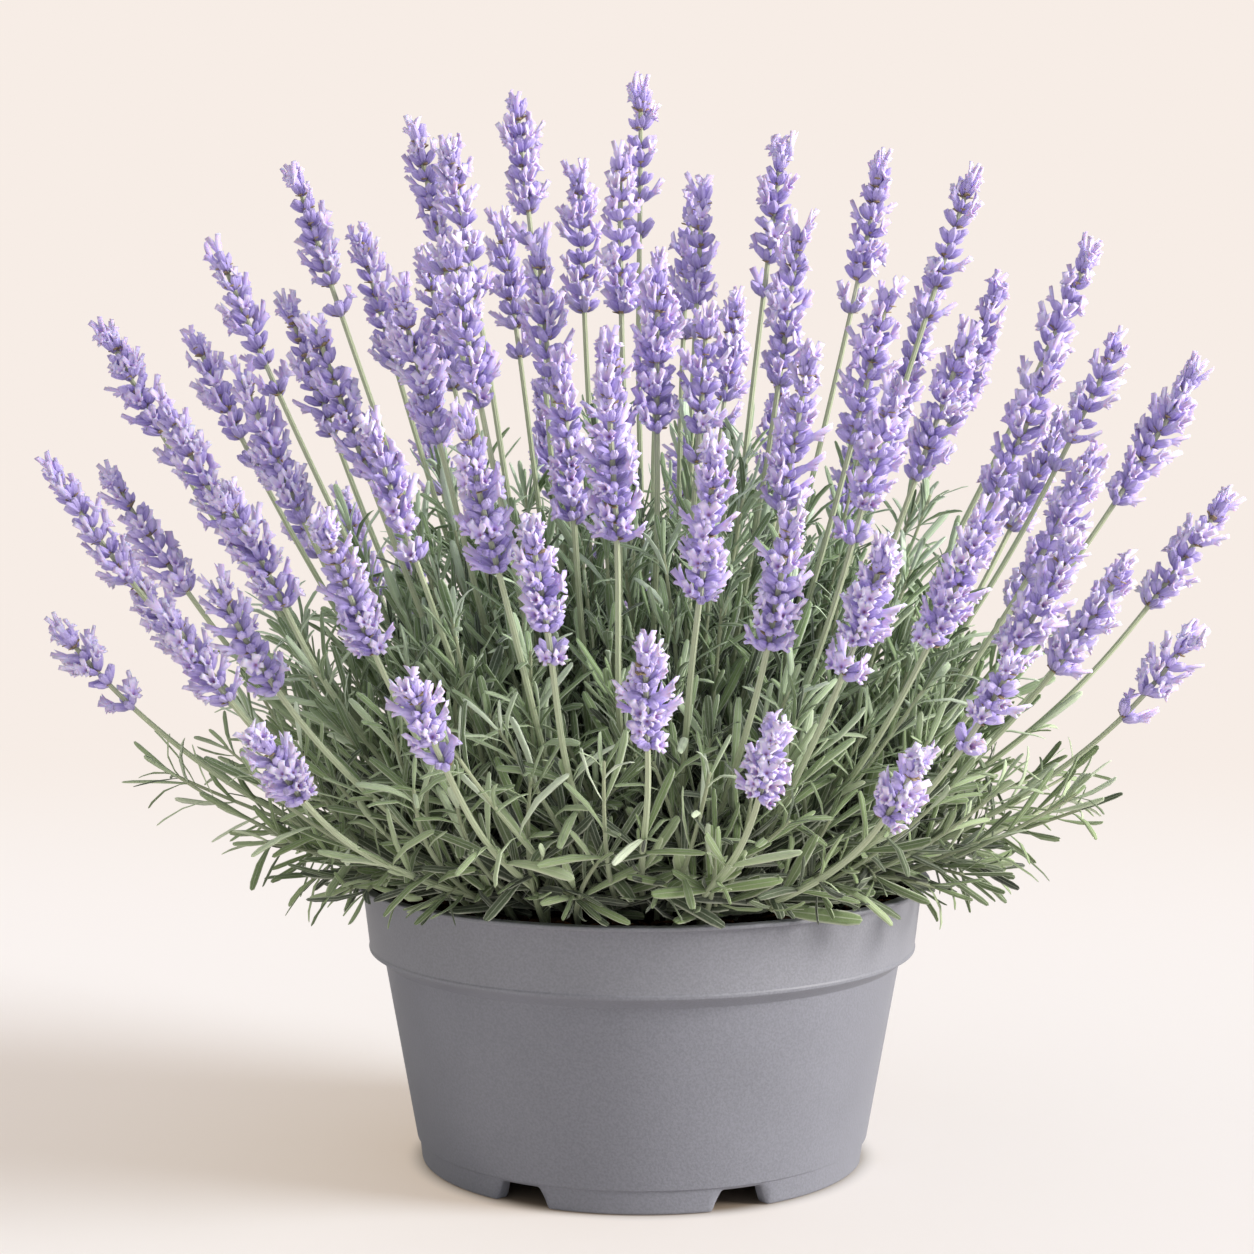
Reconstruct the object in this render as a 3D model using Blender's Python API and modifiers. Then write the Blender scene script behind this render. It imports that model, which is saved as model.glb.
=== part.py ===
"""Potted lavender: a squat plastic nursery pot, its compost and the flowering shoots that grow from it.

Metres, +Z up. The origin is on the ground in the middle of the pot, and -Y is the front.
Each shoot grows in one piece, stem, leaves and flower spike together, so each is one solid.
Its leafy part and its spike are the outer shape that the leaves and the florets fill.
"""

import math

import bpy
import numpy as np

# Pot
RIM_RADIUS = 0.110
POT_HEIGHT = 0.108
POT_WALL = 0.0016
LIP_HEIGHT = 0.0016
LIP_OVERHANG = 0.0030
LIP_ROUND = 0.0005
COLLAR_HEIGHT = 0.0270
COLLAR_TAPER = 0.0028
COLLAR_STEP = 0.0056
COLLAR_STEP_HEIGHT = 0.0036
BODY_TAPER = 0.0122
FOOT_HEIGHT = 0.0090
FOOT_STEP = 0.0007
FOOT_ROUND = 0.0012
FLOOR_THICKNESS = 0.0020
POT_SEGMENTS = 60

# Openings in the foot ring and in the floor
NOTCH_COUNT = 6
NOTCH_TURN = -3.4
NOTCH_FRONT_PITCH = 56
NOTCH_WIDTH = 0.0225
NOTCH_TOP_WIDTH = 0.0156
NOTCH_CORNER = 0.0020
NOTCH_BELOW_FLOOR = 0.0012
DRAIN_COUNT = 6
DRAIN_RADIUS = 0.0045
DRAIN_RING_RADIUS = 0.060
DRAIN_SEGMENTS = 12

# Compost
HEADSPACE = 0.0060
COMPOST_DOME = 0.0050
COMPOST_RINGS = 6

# Shoots
PLANT_REACH = 0.310
FOOT_MARGIN = 0.026
FOOT_CROWDING = 0.7
LEAN_MOST = 70.0
SHOOT_ARCH = 0.43
STEM_RADIUS = 0.0015
ROOT_COLLAR = 0.0030
LEAFY_RADIUS = 0.0062
LEAFY_SHARE = 0.50
SPIKE_RADIUS = 0.0095
SPIKE_LONGEST = 0.046
SPIKE_SHORTEST = 0.026
LOW_TIP = 0.070
HIGH_TIP = 0.170
WHORL_RADIUS = 0.0085
WHORL_LENGTH = 0.0090
WHORL_GAP = 0.0050

# Clearance between pieces that touch
FIT_GAP = 0.0003

# Where each shoot's tip is, seen from the middle of the compost: the azimuth in degrees from +X,
# the lean in degrees from upright, and the reach in percent of PLANT_REACH.
LEFT_SHOOTS = (
    (181, 54, 90), (192, 64, 78), (174, 44, 97), (195, 44, 84), (163, 41, 92), (184, 33, 94),
    (172, 26, 99), (147, 47, 83), (159, 25, 91), (167, 17, 99), (199, 15, 94), (176, 9, 99),
    (163, 61, 80),
)
FRONT_LEFT_SHOOTS = (
    (227, 58, 78), (214, 49, 73), (207, 39, 82), (238, 53, 79), (234, 69, 73), (225, 28, 83),
    (249, 64, 74), (251, 44, 82), (259, 52, 77), (255, 29, 74), (263, 14, 91),
)
FRONT_RIGHT_SHOOTS = (
    (266, 41, 83), (273, 22, 81), (270, 61, 74), (277, 46, 80), (299, 30, 76), (284, 51, 78),
    (281, 67, 73), (315, 28, 83), (293, 54, 77), (305, 52, 79), (334, 55, 74), (305, 63, 75),
    (294, 70, 72), (337, 38, 84),
)
RIGHT_SHOOTS = (
    (346, 5, 87), (342, 11, 93), (358, 18, 94), (9, 25, 98), (16, 32, 89), (5, 35, 97),
    (355, 46, 93), (1, 56, 87), (341, 63, 75),
)
REAR_SHOOTS = (
    (124, 9, 91), (96, 1, 99), (71, 28, 85), (135, 27, 90), (105, 40, 84), (43, 37, 83),
    (32, 48, 80), (90, 59, 77), (62, 54, 79), (122, 57, 79), (20, 60, 77),
)

COLLECTION = "potted_lavender"
HELPERS = "potted_lavender_cutters"
POT_COLOR = (0.21, 0.20, 0.22, 1.0)
COMPOST_COLOR = (0.045, 0.030, 0.020, 1.0)
SHOOT_COLOR = (0.30, 0.26, 0.52, 1.0)


def clear_scene():
    for obj in list(bpy.data.objects):
        bpy.data.objects.remove(obj, do_unlink=True)


def new_collection(name):
    collection = bpy.data.collections.new(name)
    bpy.context.scene.collection.children.link(collection)
    return collection


def principled(name, color, roughness):
    material = bpy.data.materials.new(name)
    material.use_nodes = True
    shader = material.node_tree.nodes["Principled BSDF"]
    shader.inputs["Base Color"].default_value = color
    shader.inputs["Roughness"].default_value = roughness
    shader.inputs["Metallic"].default_value = 0.0
    material.diffuse_color = color
    return material


def collar_radius(z):
    """Outer radius of the collar at a height, straight from under the lip to its lower edge."""
    top = POT_HEIGHT - LIP_HEIGHT
    share = (top - z) / (COLLAR_HEIGHT - LIP_HEIGHT)
    return RIM_RADIUS - LIP_OVERHANG - COLLAR_TAPER * share


def body_radius(z):
    """Outer radius of the tapered body below the collar."""
    top = POT_HEIGHT - COLLAR_HEIGHT - COLLAR_STEP_HEIGHT
    share = (top - z) / (top - FOOT_HEIGHT)
    top_radius = collar_radius(POT_HEIGHT - COLLAR_HEIGHT) - COLLAR_STEP
    return top_radius - BODY_TAPER * share


def inner_wall():
    """Points (radius, height) of the pot's inner wall, from the floor up to the rim."""
    floor = FOOT_HEIGHT + FLOOR_THICKNESS
    shoulder = POT_HEIGHT - COLLAR_HEIGHT
    return [
        (body_radius(floor) - POT_WALL, floor),
        (body_radius(shoulder - COLLAR_STEP_HEIGHT) - POT_WALL, shoulder - COLLAR_STEP_HEIGHT),
        (collar_radius(shoulder) - POT_WALL, shoulder),
        (collar_radius(POT_HEIGHT) - POT_WALL, POT_HEIGHT),
    ]


def wall_radius(z):
    """Inner radius of the pot at a height."""
    wall = inner_wall()
    return float(np.interp(z, [point[1] for point in wall], [point[0] for point in wall]))


def pot_profile():
    """The pot's section, from the middle of the floor up the inside, over the rim and down the outside."""
    lip_bottom = POT_HEIGHT - LIP_HEIGHT
    shoulder = POT_HEIGHT - COLLAR_HEIGHT
    body_top = shoulder - COLLAR_STEP_HEIGHT
    foot_radius = body_radius(FOOT_HEIGHT) - FOOT_STEP
    points = [(0.0, FOOT_HEIGHT + FLOOR_THICKNESS)]
    points += inner_wall()
    points += [
        (RIM_RADIUS - LIP_ROUND, POT_HEIGHT),
        (RIM_RADIUS, POT_HEIGHT - LIP_ROUND),
        (RIM_RADIUS, lip_bottom + LIP_ROUND),
        (collar_radius(lip_bottom) + LIP_ROUND, lip_bottom),
        (collar_radius(lip_bottom), lip_bottom - LIP_ROUND),
        (collar_radius(shoulder + FOOT_ROUND), shoulder + FOOT_ROUND),
        (collar_radius(shoulder) - FOOT_ROUND, shoulder),
        (body_radius(body_top) + FOOT_ROUND, body_top + COLLAR_STEP_HEIGHT / 3),
        (body_radius(body_top), body_top),
        (body_radius(FOOT_HEIGHT + FOOT_STEP), FOOT_HEIGHT + FOOT_STEP),
        (foot_radius, FOOT_HEIGHT),
        (foot_radius, FOOT_ROUND),
        (foot_radius - FOOT_ROUND, 0.0),
        (foot_radius - FOOT_ROUND - POT_WALL, 0.0),
        (foot_radius - FOOT_ROUND - POT_WALL, FOOT_HEIGHT),
        (0.0, FOOT_HEIGHT),
    ]
    return points


def compost_top(radius):
    """Height of the compost's domed surface at a distance from the pot's axis."""
    edge = POT_HEIGHT - HEADSPACE
    share = radius / (wall_radius(edge) - FIT_GAP)
    return edge + COMPOST_DOME * (1.0 - share**2)


def compost_profile():
    """The compost's section, over the dome, down beside the pot's wall and back across the floor."""
    edge = POT_HEIGHT - HEADSPACE
    edge_radius = wall_radius(edge) - FIT_GAP
    radii = [edge_radius * ring / COMPOST_RINGS for ring in range(COMPOST_RINGS + 1)]
    points = [(radius, compost_top(radius)) for radius in radii]
    for radius, height in reversed(inner_wall()[:-1]):
        points.append((radius - FIT_GAP, height + FIT_GAP))
    points.append((0.0, FOOT_HEIGHT + FLOOR_THICKNESS + FIT_GAP))
    return points


def turned(name, profile, segments, material, collection):
    """A solid of revolution about Z from a section of (radius, height) points."""
    mesh = bpy.data.meshes.new(name)
    mesh.from_pydata([(r, 0.0, z) for r, z in profile], [(i, i + 1) for i in range(len(profile) - 1)], [])
    obj = bpy.data.objects.new(name, mesh)
    collection.objects.link(obj)
    screw = obj.modifiers.new("Turn", "SCREW")
    screw.axis = "Z"
    screw.angle = math.tau
    screw.steps = segments
    screw.render_steps = segments
    screw.use_merge_vertices = True
    screw.merge_threshold = 1e-5
    screw.use_smooth_shade = True
    mesh.materials.append(material)
    return obj


def cutter(obj, collection):
    obj.hide_render = True
    obj.display_type = "WIRE"
    for owner in list(obj.users_collection):
        owner.objects.unlink(obj)
    collection.objects.link(obj)
    return obj


def cut(obj, tool, name):
    boolean = obj.modifiers.new(name, "BOOLEAN")
    boolean.operation = "DIFFERENCE"
    boolean.solver = "EXACT"
    boolean.object = tool


def notch_angle(index):
    """Turn of a notch from the pot's front: the front two are a little closer than the others."""
    pitch = (360 - NOTCH_FRONT_PITCH) / (NOTCH_COUNT - 1)
    return NOTCH_TURN + NOTCH_FRONT_PITCH / 2 + pitch * index


def notch_cutter(index, collection):
    """A flat trapezium with cut-off top corners, pushed outwards through the foot ring."""
    top = FOOT_HEIGHT - NOTCH_BELOW_FLOOR
    half = NOTCH_WIDTH / 2
    half_top = NOTCH_TOP_WIDTH / 2
    outline = [
        (-half, -FOOT_HEIGHT / 2),
        (half, -FOOT_HEIGHT / 2),
        (half, 0.0),
        (half_top + NOTCH_CORNER / 4, top - NOTCH_CORNER),
        (half_top - NOTCH_CORNER, top),
        (-half_top + NOTCH_CORNER, top),
        (-half_top - NOTCH_CORNER / 4, top - NOTCH_CORNER),
        (-half, 0.0),
    ]
    foot_radius = body_radius(FOOT_HEIGHT) - FOOT_STEP
    inner = foot_radius - FOOT_ROUND - POT_WALL * 4
    outer = foot_radius + POT_WALL * 2
    count = len(outline)
    points = [(inner, x, z) for x, z in outline] + [(outer, x, z) for x, z in outline]
    faces = [tuple(reversed(range(count))), tuple(range(count, 2 * count))]
    faces += [(i, (i + 1) % count, (i + 1) % count + count, i + count) for i in range(count)]
    mesh = bpy.data.meshes.new(f"notch_{index}")
    mesh.from_pydata(points, [], faces)
    obj = bpy.data.objects.new(f"notch_{index}", mesh)
    collection.objects.link(obj)
    obj.rotation_euler.z = math.radians(-90 + notch_angle(index))
    return cutter(obj, collection)


def drain_cutter(index, collection):
    """A round drainage hole through the floor."""
    angle = math.radians(-90 + NOTCH_TURN) + math.tau * index / DRAIN_COUNT
    bpy.ops.mesh.primitive_cylinder_add(
        vertices=DRAIN_SEGMENTS,
        radius=DRAIN_RADIUS,
        depth=FLOOR_THICKNESS * 3,
        location=(
            DRAIN_RING_RADIUS * math.cos(angle),
            DRAIN_RING_RADIUS * math.sin(angle),
            FOOT_HEIGHT + FLOOR_THICKNESS / 2,
        ),
    )
    obj = bpy.context.object
    obj.name = f"drain_{index}"
    return cutter(obj, collection)


def build_pot(parts, helpers):
    plastic = principled("grey_polypropylene", POT_COLOR, 0.42)
    pot = turned("pot", pot_profile(), POT_SEGMENTS, plastic, parts)
    for index in range(NOTCH_COUNT):
        cut(pot, notch_cutter(index, helpers), f"Notch {index}")
    for index in range(DRAIN_COUNT):
        cut(pot, drain_cutter(index, helpers), f"Drain {index}")
    return pot


def build_compost(parts):
    peat = principled("compost", COMPOST_COLOR, 0.95)
    return turned("compost", compost_profile(), POT_SEGMENTS, peat, parts)


def foot_radius_of(lean):
    """How far from the axis a shoot roots: the more it leans, the nearer the wall."""
    widest = wall_radius(POT_HEIGHT - HEADSPACE) - FOOT_MARGIN
    return widest * (lean / LEAN_MOST) ** FOOT_CROWDING


def shoot_line(azimuth, lean, reach):
    """The shoot's middle line as a function of a share from 0 at its foot to 1 at its tip.

    Every shoot stays in its own upright plane through the axis, and one that leans far leaves
    the compost low and curves upwards.
    """
    foot = np.array([foot_radius_of(lean), compost_top(foot_radius_of(lean)) + FIT_GAP + ROOT_COLLAR])
    length = PLANT_REACH * reach / 100
    tip = np.array([math.sin(math.radians(lean)), math.cos(math.radians(lean))]) * length
    tip[1] += POT_HEIGHT - HEADSPACE
    arch = SHOOT_ARCH * (lean / LEAN_MOST) ** 2
    around = math.radians(azimuth)

    def place(share):
        bend = arch * share * (1.0 - share)
        out = foot[0] + (tip[0] - foot[0]) * (share + bend)
        up = foot[1] + (tip[1] - foot[1]) * (share - bend)
        return (out * math.cos(around), out * math.sin(around), up)

    return place, float(np.linalg.norm(tip - foot)), float(tip[1] - POT_HEIGHT)


def spike_length(tip_height):
    """Low shoots carry short spikes and high ones long spikes."""
    return float(np.interp(tip_height, [LOW_TIP, HIGH_TIP], [SPIKE_SHORTEST, SPIKE_LONGEST]))


def shoot_stations(length, spike):
    """(distance from the foot, radius) at each change of the shoot's outline."""
    leafy = LEAFY_SHARE * length
    spike_base = length - spike
    whorl_top = spike_base - WHORL_GAP
    whorl_base = whorl_top - WHORL_LENGTH
    leaf_end = min(leafy, whorl_base - WHORL_GAP)
    return [
        (0.0, STEM_RADIUS),
        (leaf_end * 0.22, (STEM_RADIUS + LEAFY_RADIUS) / 2),
        (leaf_end * 0.50, LEAFY_RADIUS),
        (leaf_end * 0.80, (STEM_RADIUS + LEAFY_RADIUS) / 2),
        (leaf_end, STEM_RADIUS),
        (whorl_base, STEM_RADIUS),
        (whorl_base + WHORL_LENGTH * 0.6, WHORL_RADIUS),
        (whorl_top, STEM_RADIUS),
        (spike_base, STEM_RADIUS),
        (spike_base + spike * 0.12, SPIKE_RADIUS * 0.9),
        (spike_base + spike * 0.40, SPIKE_RADIUS),
        (spike_base + spike * 0.72, SPIKE_RADIUS * 0.8),
        (spike_base + spike * 0.94, SPIKE_RADIUS * 0.5),
        (length, STEM_RADIUS),
    ]


def build_shoot(index, azimuth, lean, reach, material, parts):
    """A shoot as one tube of changing thickness, with a short upright collar where it roots."""
    place, length, tip_height = shoot_line(azimuth, lean, reach)
    stations = shoot_stations(length, spike_length(tip_height))
    foot = place(0.0)
    points = [(foot[0], foot[1], foot[2] - ROOT_COLLAR)]
    points += [place(distance / length) for distance, _ in stations]
    radii = [STEM_RADIUS] + [radius for _, radius in stations]
    name = f"flowering_shoot_{index:02d}"
    curve = bpy.data.curves.new(name, "CURVE")
    curve.dimensions = "3D"
    curve.bevel_depth = 1.0
    curve.bevel_resolution = 2
    curve.use_fill_caps = True
    spline = curve.splines.new("POLY")
    spline.points.add(len(points) - 1)
    for control, point, radius in zip(spline.points, points, radii):
        control.co = (*point, 1.0)
        control.radius = radius
    spline.use_smooth = True
    curve.materials.append(material)
    shoot = bpy.data.objects.new(name, curve)
    parts.objects.link(shoot)
    return shoot


def main():
    clear_scene()
    parts = new_collection(COLLECTION)
    helpers = new_collection(HELPERS)
    build_pot(parts, helpers)
    build_compost(parts)
    lavender = principled("lavender_shoot", SHOOT_COLOR, 0.7)
    groups = (LEFT_SHOOTS, FRONT_LEFT_SHOOTS, FRONT_RIGHT_SHOOTS, RIGHT_SHOOTS, REAR_SHOOTS)
    rows = [row for group in groups for row in group]
    for index, (azimuth, lean, reach) in enumerate(rows, 1):
        build_shoot(index, azimuth, lean, reach, lavender, parts)


main()
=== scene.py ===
# %% [markdown]
# # A potted lavender
#
# A bush of true lavender stands in a squat grey nursery pot. The collision model already says
# where everything is: a pot, its compost and a set of slim solids, one for each flowering shoot.
# This lesson grows the plant that those solids stand for. Every stem, leaf, calyx and floret is a
# small surface worked out once with numpy, then set down many times along the shoots.

import math

import bpy
import numpy as np
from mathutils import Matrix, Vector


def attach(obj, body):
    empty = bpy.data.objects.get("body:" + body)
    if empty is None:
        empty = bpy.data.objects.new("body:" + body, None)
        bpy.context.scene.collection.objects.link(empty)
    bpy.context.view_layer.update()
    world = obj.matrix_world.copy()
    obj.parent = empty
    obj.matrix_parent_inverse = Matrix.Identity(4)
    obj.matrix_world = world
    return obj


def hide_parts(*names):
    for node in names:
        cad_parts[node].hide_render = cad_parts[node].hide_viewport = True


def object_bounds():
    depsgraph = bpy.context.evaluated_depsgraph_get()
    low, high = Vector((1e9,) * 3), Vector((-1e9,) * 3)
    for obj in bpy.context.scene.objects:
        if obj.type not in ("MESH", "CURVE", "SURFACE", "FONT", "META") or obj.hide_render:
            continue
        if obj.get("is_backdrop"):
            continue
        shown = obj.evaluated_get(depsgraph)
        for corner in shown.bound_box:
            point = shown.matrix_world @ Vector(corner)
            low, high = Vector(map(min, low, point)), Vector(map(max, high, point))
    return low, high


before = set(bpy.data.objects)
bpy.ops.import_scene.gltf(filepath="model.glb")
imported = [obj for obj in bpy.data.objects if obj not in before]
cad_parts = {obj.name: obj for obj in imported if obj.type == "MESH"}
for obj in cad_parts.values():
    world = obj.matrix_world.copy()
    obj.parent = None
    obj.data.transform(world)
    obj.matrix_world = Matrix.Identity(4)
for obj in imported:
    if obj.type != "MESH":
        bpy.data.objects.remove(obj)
cad_low, cad_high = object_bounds()
random = np.random.default_rng(24)
print("frame box", [round(v, 4) for v in cad_low], [round(v, 4) for v in cad_high])

# %% [markdown]
# ## The camera
#
# The plant is seen from about a metre away and a little above its rim, with a portrait lens, so
# the pot's rim shows as a thin ellipse. The camera looks slightly down, level from side to side.

# %% Camera
CAMERA_PLACE = (-0.0058, -1.0005, 0.2773)
CAMERA_DOWN = 4.238
CAMERA_LENS = 75.55

camera = bpy.data.objects.new("camera", bpy.data.cameras.new("camera"))
bpy.context.scene.collection.objects.link(camera)
camera.location = CAMERA_PLACE
camera.rotation_euler = (math.radians(90 - CAMERA_DOWN), 0.0, 0.0)
camera.data.lens = CAMERA_LENS
camera.data.sensor_width = 36.0
camera.data.clip_start = 0.05
camera.data.clip_end = 60.0
bpy.context.scene.camera = camera
print("camera lens, mm", CAMERA_LENS, "looking down, degrees", CAMERA_DOWN)

# %% [markdown]
# ## Helpers for materials
#
# Colours are written as sRGB hex, the way a colour chart gives them, and one function turns them
# linear. One small function adds any shader node, sets it up and links it in a single call.
# Another starts a material from what the real surface is, and a third joins patterns to it.


# %% Material helpers
MILLIMETRE = 0.001
MIX = {"out": 2, "data_type": "RGBA"}


def linear(hex_color):
    """An sRGB hex colour as linear red, green, blue and alpha: each channel is undone by the sRGB curve."""
    channels = np.array([int(hex_color[i : i + 2], 16) for i in (1, 3, 5)]) / 255
    curve = np.where(channels <= 0.04045, channels / 12.92, ((channels + 0.055) / 1.055) ** 2.4)
    return (*curve.tolist(), 1.0)


def add(tree, kind, inputs=None, out=None, stops=(), **settings):
    """Adds a node and sets it up.

    Each input is a socket to link, a hex colour or a plain value. Stops are a colour ramp's
    positions and hex colours. It gives the node, or its output of the name or number in out.
    """
    made = tree.nodes.new("ShaderNode" + kind)
    for key, value in settings.items():
        setattr(made, key, value)
    for key, value in (inputs or {}).items():
        if isinstance(value, bpy.types.NodeSocket):
            tree.links.new(value, made.inputs[key])
        else:
            made.inputs[key].default_value = linear(value) if isinstance(value, str) else value
    for index, (position, color) in enumerate(stops):
        elements = made.color_ramp.elements
        element = elements[index] if index < len(elements) else elements.new(position)
        element.position = position
        element.color = linear(color)
    return made if out is None else made.outputs[out]


def material(name, roughness, ior, specular, **constants):
    """A material with one Principled shader, whose uniform numbers are set on its own sockets."""
    made = bpy.data.materials.new(name)
    made.use_nodes = True
    tree = made.node_tree
    shader = tree.nodes["Principled BSDF"]
    shader.inputs["Roughness"].default_value = roughness
    shader.inputs["IOR"].default_value = ior
    shader.inputs["Specular IOR Level"].default_value = specular
    for key, value in constants.items():
        shader.inputs[key.replace("_", " ")].default_value = value
    return made, tree, shader


def blotches(tree, size_mm, detail, out="Fac"):
    """A noise on the object's own coordinates, whose blotches are so many millimetres across."""
    noise = {"Vector": add(tree, "TexCoord", out="Object"), "Scale": 1 / (size_mm * MILLIMETRE), "Detail": detail}
    return add(tree, "TexNoise", noise, out=out)


def join(tree, shader, color, height=None, strength=0.0, depth_mm=0.0):
    """Links a colour to a shader and, where a height is given, its relief as bump that deep."""
    tree.links.new(color, shader.inputs["Base Color"])
    if height is not None:
        bump = {"Height": height, "Strength": strength, "Distance": depth_mm * MILLIMETRE}
        tree.links.new(add(tree, "Bump", bump, out="Normal"), shader.inputs["Normal"])


# %% [markdown]
# ## The pot's plastic
#
# Nursery pots are injection moulded in grey polypropylene. The mould leaves a very fine matt
# grain and the colour is even, with a faint cloudiness from recycled stock. The collar is painted
# paler: painted light, to make up for the shade of the leaves that arch over it. The grain of
# about 0.4 mm is drawn at 0.9 mm, so that it shows at this distance.

# %% Polypropylene
polypropylene, tree, shader = material("moulded_polypropylene", 0.52, 1.49, 0.4)
cloud = blotches(tree, 38, 3.0)
grain = blotches(tree, 0.9, 2.0)
height = add(tree, "SeparateXYZ", {0: add(tree, "TexCoord", out="Object")}, out="Z")
# Painted light: from 80 to 84 mm up, the collar's colour is mixed towards a paler grey.
shoulder = {"Value": height, "From Min": 0.080, "From Max": 0.084, "To Max": 0.15}
collar_painted_light = add(tree, "MapRange", shoulder, out="Result")
body_color = add(tree, "Mix", {0: cloud, 6: "#7d7f87", 7: "#8a8c95"}, **MIX)
body_color = add(tree, "Mix", {0: collar_painted_light, 6: body_color, 7: "#b0b0b4"}, **MIX)
speckle = add(tree, "ValToRGB", {"Fac": grain}, out="Color", stops=((0.35, "#dfdfdf"), (0.65, "#ffffff")))
body_color = add(tree, "Mix", {0: 0.6, 6: body_color, 7: speckle}, **MIX, blend_type="MULTIPLY")
join(tree, shader, body_color, grain, 0.22, 0.4)
mould = {"Value": grain, "From Min": 0.3, "From Max": 0.7, "To Min": 0.44, "To Max": 0.62}
tree.links.new(add(tree, "MapRange", mould, out="Result"), shader.inputs["Roughness"])
print("pot material", polypropylene.name)

# %% [markdown]
# ## Compost and bark
#
# Potting compost is dark moist peat with bits of composted bark. The peat is nearly black and
# matt, crumbly at 1 to 3 mm, and the bark chips are warm brown with a lighter broken edge.

# %% Compost materials
peat, tree, shader = material("moist_peat_compost", 0.95, 1.4, 0.2)
crumb = blotches(tree, 2.2, 5.0)
crumbs = ((0.32, "#120b07"), (0.52, "#2c1d13"), (0.72, "#4c3423"))
join(tree, shader, add(tree, "ValToRGB", {"Fac": crumb}, out="Color", stops=crumbs), crumb, 0.9, 1.5)

bark, tree, shader = material("composted_pine_bark", 0.85, 1.4, 0.25)
fibre = blotches(tree, 1.2, 4.0)
tint = add(tree, "Attribute", out="Fac", attribute_name="tint")
chip_color = add(tree, "Mix", {0: tint, 6: "#3a2415", 7: "#7a5334"}, **MIX)
chip_color = add(tree, "Mix", {0: fibre, 6: chip_color, 7: "#20130b"}, **MIX)
join(tree, shader, chip_color, fibre, 0.7, 0.6)
print("compost materials", peat.name, bark.name)

# %% [markdown]
# ## Leaf, stem and flower surfaces
#
# Lavender is felted: every green part carries short pale hairs, which make it grey, soft and
# matt. The pattern has to follow each leaf, so the leaf's own UV map runs across (u) and along
# (v) it: a faint pale midrib in the middle, pale rolled margins, darker blade between. Each leaf
# and floret also carries one number, its tint, which picks its place between two colours. On
# leaves and stems the tint is painted shade as well: lower, and the colour darker, the nearer
# they sit to the heart of the bush. Leaves high in the bush are a little bluer, as the young ones are.


# %% Felted leaf
def growth_of(tree):
    """Where a point is on its leaf or tube, across (u) and along (v), and that leaf's tint."""
    chart = add(tree, "SeparateXYZ", {0: add(tree, "UVMap", out=0, uv_map="growth")})
    return chart.outputs["X"], chart.outputs["Y"], add(tree, "Attribute", out="Fac", attribute_name="tint")


def stripe(tree, value, middle, half_width):
    """1 where value is at the middle, falling smoothly to 0 half a width away."""
    away = add(tree, "Math", {0: value, 1: middle}, out=0, operation="SUBTRACT")
    away = add(tree, "Math", {0: away}, out=0, operation="ABSOLUTE")
    fall = {"Value": away, "From Min": 0.0, "From Max": half_width, "To Min": 1.0, "To Max": 0.0}
    return add(tree, "MapRange", fall, out="Result", interpolation_type="SMOOTHSTEP")


def felt(tree, larger, tuft_mm):
    """Felt: a fine noise of hair tufts, and the same with any larger relief added to half of it."""
    tufts = blotches(tree, tuft_mm, 2.0)
    return tufts, add(tree, "Math", {0: tufts, 1: 0.5, 2: larger}, out=0, operation="MULTIPLY_ADD")


MARGIN = 0.16
MIDRIB = 0.08
MIDRIB_SHARE = 0.55
leaf_felt, tree, shader = material(
    "felted_lavender_leaf", 0.72, 1.42, 0.25, Sheen_Weight=0.15, Sheen_Roughness=0.6
)
across, along, tint = growth_of(tree)
midrib = stripe(tree, across, 0.5, MIDRIB)
margins = [stripe(tree, across, edge, MARGIN) for edge in (0.0, 1.0)]
tufts, relief = felt(tree, midrib, 0.6)
# Painted shade: a low tint, which leaves near the bush's heart are given, picks the near-black end of this ramp.
greens = ((0.0, "#0d1503"), (0.22, "#25360f"), (0.5, "#7e9559"), (0.78, "#c1d1a6"), (1.0, "#e8f1d8"))
blade = add(tree, "ValToRGB", {"Fac": tint}, out="Color", stops=greens)
haired = add(tree, "Mix", {0: 0.25, 6: blade, 7: "#c4d2bc"}, **MIX)
blade = add(tree, "Mix", {0: tufts, 6: blade, 7: haired}, **MIX)
pale = add(tree, "Math", {0: margins[0], 1: margins[1]}, out=0, operation="MAXIMUM")
midrib = add(tree, "Math", {0: midrib, 1: MIDRIB_SHARE}, out=0, operation="MULTIPLY")
pale = add(tree, "Math", {0: pale, 1: midrib}, out=0, operation="MAXIMUM")
rim_color = add(tree, "Mix", {0: 0.65, 6: blade, 7: "#e4ecd3"}, **MIX)
leaf_color = add(tree, "Mix", {0: pale, 6: blade, 7: rim_color}, **MIX)
height = add(tree, "SeparateXYZ", {0: add(tree, "TexCoord", out="Object")}, out="Z")
aloft = add(tree, "MapRange", {"Value": height, "From Min": 0.13, "From Max": 0.22}, out="Result")
leaf_color = add(tree, "Mix", {0: aloft, 6: leaf_color, 7: "#f0f8ff"}, **MIX, blend_type="MULTIPLY")
join(tree, shader, leaf_color, relief, 0.6, 0.25)
print("leaf material", leaf_felt.name)

# %% [markdown]
# The stem is square, ribbed and pale sage, greener low down. Its colour is painted light and shade:
# a lit and a shaded copy of the sage, mixed by the tint, darker where leaves shade it. The calyx is
# a ribbed tube of blue-violet felt, greyer at its base. The corolla is smooth and thin, lilac, with
# paler lobe edges and a dark throat that holds an orange-brown spot. Bracts are thin, dry and brown.


# %% Stem and calyx
def ribs(tree, across, count):
    """A wave from -1 to 1 that rises count times on each half of a tube, and its share from 0 to 1."""
    wave = add(tree, "Math", {0: across, 1: count * math.tau}, out=0, operation="MULTIPLY")
    wave = add(tree, "Math", {0: wave}, out=0, operation="COSINE")
    return wave, {"Value": wave, "From Min": -1.0, "From Max": 1.0}


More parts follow.
